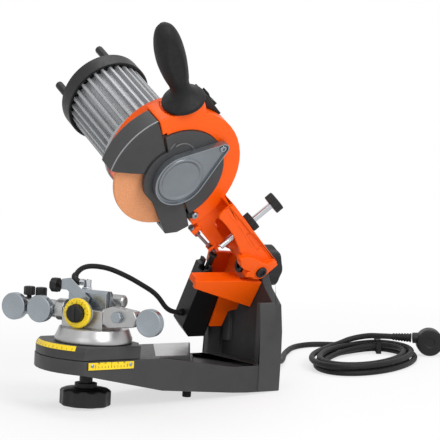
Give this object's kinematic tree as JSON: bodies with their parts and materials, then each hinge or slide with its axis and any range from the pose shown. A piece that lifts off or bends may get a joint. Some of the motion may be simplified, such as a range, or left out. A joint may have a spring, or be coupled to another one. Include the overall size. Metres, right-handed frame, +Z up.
{
  "type": "electric chainsaw sharpener",
  "caption": "Bench chain grinder: tilting motor head with ribbed motor and guarded wheel on a hinged arm, over a swivelling hydraulic vise on a cast base, with mains cord.",
  "frame": {"origin": "centre of the machine's bounding box without the free cord, at the surface that it stands on", "axes": "+Z up, -Y from the tower towards the vise at the front, +X to the side of the wheel covers; the base leans 3.6 degrees back on its lock knob"},
  "size_m": [0.3388, 0.6713, 0.4597],
  "materials": {
    "paint_orange": "glossy powder coat on cast alloy",
    "paint_grey": "satin powder coat on cast alloy",
    "cover_grey": "moulded cover",
    "black_plastic": "moulded plastic",
    "black_rubber": "soft rubber and cord sheath",
    "plain_steel": "turned steel",
    "cast_alloy": "cast and machined alloy",
    "black_steel": "black oxide steel",
    "bright_chrome": "plated fitting",
    "scale_yellow": "printed scale",
    "wheel_stone": "bonded abrasive",
    "motor_copper": "laminated and wound core"
  },
  "bodies": {
    "base": {"base_casting": "paint_grey", "bench_peg_left": "black_rubber", "bench_peg_right": "black_rubber", "side_scale_plate": "scale_yellow", "cord_gland": "black_rubber", "mains_cord": "black_rubber", "cord_hank": "black_rubber", "cord_tie": "black_rubber", "plug_lead": "black_rubber", "plug_strain_relief": "black_rubber", "mains_plug": "black_plastic", "hydraulic_hose": "black_rubber"},
    "carriage": {"vise_carriage": "paint_grey", "swivel_scale": "scale_yellow"},
    "carriage_lock": {"vise_lock_knob": "black_plastic"},
    "vise": {"vise_body": "cast_alloy", "fixed_jaw": "plain_steel", "slave_cylinder": "cast_alloy", "hose_fitting": "bright_chrome", "angle_dial": "scale_yellow", "left_arm_tube": "cast_alloy", "right_arm_tube": "cast_alloy", "ear_bolt": "plain_steel"},
    "jaw": {"moving_jaw": "plain_steel"},
    "dial": {"dial_knob": "black_plastic"},
    "outer_roller": {"roller_outer": "plain_steel"},
    "inner_roller": {"roller_inner": "plain_steel"},
    "right_roller": {"roller_right": "plain_steel"},
    "outer_arm_lock": {"arm_lock_knob_outer": "black_plastic"},
    "inner_arm_lock": {"arm_lock_knob_inner": "black_plastic"},
    "chain_stop": {"chain_stop_arm": "plain_steel"},
    "stop_screw": {"chain_stop_knob": "black_plastic"},
    "tilt_head": {"tilt_bracket": "paint_orange", "hinge_pin": "black_steel", "return_spring": "plain_steel", "pump_cover": "black_plastic", "pump_cylinder": "cast_alloy", "tilt_bolt": "black_steel"},
    "piston": {"pump_piston": "black_steel"},
    "tilt_lock": {"tilt_lock_knob": "black_plastic"},
    "arm": {"arm_casting": "paint_orange", "side_cover": "cover_grey", "guard_hood": "cover_grey", "lower_guard": "cover_grey", "nut_cover": "cast_alloy", "cover_screw_top": "plain_steel", "cover_screw_side": "plain_steel", "motor_housing": "cast_alloy", "motor_end_cap": "black_plastic", "motor_stator": "motor_copper", "handle": "black_rubber", "switch_box": "black_plastic", "lock_nut": "black_plastic", "push_rod": "plain_steel"},
    "spindle": {"rotor_shaft": "plain_steel", "grinding_wheel": "wheel_stone", "flange_nut": "plain_steel"},
    "switch": {"rocker_switch": "black_rubber"},
    "depth_stop": {"depth_screw": "plain_steel", "depth_knob": "black_plastic"}
  },
  "joints": [
    {"name": "carriage_slide", "type": "slide", "parent": "base", "child": "carriage", "axis": [0, 0.998, -0.0628], "range_m": [-0.02, 0.02], "deforming": ["hydraulic_hose"]},
    {"name": "carriage_lock_turn", "type": "hinge", "parent": "carriage", "child": "carriage_lock", "pos_m": [-0.01391, -0.10845, 0.0157], "axis": [0, 0.0628, 0.998], "continuous": true},
    {"name": "vise_swivel", "type": "hinge", "parent": "carriage", "child": "vise", "pos_m": [-0.01391, -0.10374, 0.09055], "axis": [0, 0.0628, 0.998], "range_deg": [-63, 7], "deforming": ["hydraulic_hose"]},
    {"name": "jaw_slide", "type": "slide", "parent": "vise", "child": "jaw", "axis": [0.4695, -0.8812, 0.0554], "range_m": [0, 0.0011]},
    {"name": "dial_turn", "type": "hinge", "parent": "vise", "child": "dial", "pos_m": [0.00079, -0.12826, 0.11734], "axis": [-0.4695, 0.8812, -0.0554], "range_deg": [-90, 90]},
    {"name": "outer_roller_spin", "type": "hinge", "parent": "vise", "child": "outer_roller", "pos_m": [-0.08469, -0.16234, 0.11929], "axis": [-0.4695, 0.8812, -0.0554], "continuous": true},
    {"name": "inner_roller_spin", "type": "hinge", "parent": "vise", "child": "inner_roller", "pos_m": [-0.05273, -0.14537, 0.11822], "axis": [-0.4695, 0.8812, -0.0554], "continuous": true},
    {"name": "right_roller_spin", "type": "hinge", "parent": "vise", "child": "right_roller", "pos_m": [0.08007, -0.07509, 0.11079], "axis": [-0.4695, 0.8812, -0.0554], "continuous": true},
    {"name": "outer_arm_lock_turn", "type": "hinge", "parent": "vise", "child": "outer_arm_lock", "pos_m": [-0.08282, -0.14514, 0.13323], "axis": [0, 0.0628, 0.998], "continuous": true},
    {"name": "inner_arm_lock_turn", "type": "hinge", "parent": "vise", "child": "inner_arm_lock", "pos_m": [-0.0679, -0.13722, 0.13273], "axis": [0, 0.0628, 0.998], "continuous": true},
    {"name": "chain_stop_swing", "type": "hinge", "parent": "vise", "child": "chain_stop", "pos_m": [-0.00783, -0.11165, 0.12972], "axis": [-0.4695, 0.8812, -0.0554], "range_deg": [-3, 30]},
    {"name": "stop_screw_turn", "type": "hinge", "parent": "chain_stop", "child": "stop_screw", "pos_m": [-0.04336, -0.13007, 0.14681], "axis": [0.8829, 0.4685, -0.0295], "continuous": true},
    {"name": "head_tilt", "type": "hinge", "parent": "base", "child": "tilt_head", "pos_m": [-0.01391, 0.1327, 0.15383], "axis": [0, 0.998, -0.0628], "range_deg": [-30, 5], "deforming": ["hydraulic_hose"]},
    {"name": "piston_slide", "type": "slide", "parent": "tilt_head", "child": "piston", "axis": [0.5, 0.0544, 0.8643], "range_m": [-0.0224, 0]},
    {"name": "tilt_lock_turn", "type": "hinge", "parent": "tilt_head", "child": "tilt_lock", "pos_m": [-0.01391, 0.16264, 0.15194], "axis": [0, 0.998, -0.0628], "continuous": true},
    {"name": "arm_swing", "type": "hinge", "parent": "tilt_head", "child": "arm", "pos_m": [-0.00466, 0.12622, 0.17029], "axis": [-0.866, 0.0314, 0.499], "range_deg": [-26, 0], "stiffness_Nm_per_rad": 6, "springref_deg": 91.67},
    {"name": "spindle_spin", "type": "hinge", "parent": "arm", "child": "spindle", "pos_m": [0.05603, -0.03391, 0.28569], "axis": [0.866, -0.0314, -0.499], "continuous": true},
    {"name": "switch_rock", "type": "hinge", "parent": "arm", "child": "switch", "pos_m": [0.08655, 0.00154, 0.3725], "axis": [0.866, -0.0314, -0.499], "range_deg": [-4, 4]},
    {"name": "depth_screw_turn", "type": "hinge", "parent": "arm", "child": "depth_stop", "pos_m": [0.05412, 0.10659, 0.22844], "axis": [0.3861, 0.6761, 0.6275], "continuous": true}
  ],
  "couplings": [
    {"joint": "piston_slide", "follows": "arm_swing", "m_per_rad": 0.04936},
    {"joint": "jaw_slide", "follows": "arm_swing", "m_per_rad": -0.002424}
  ]
}
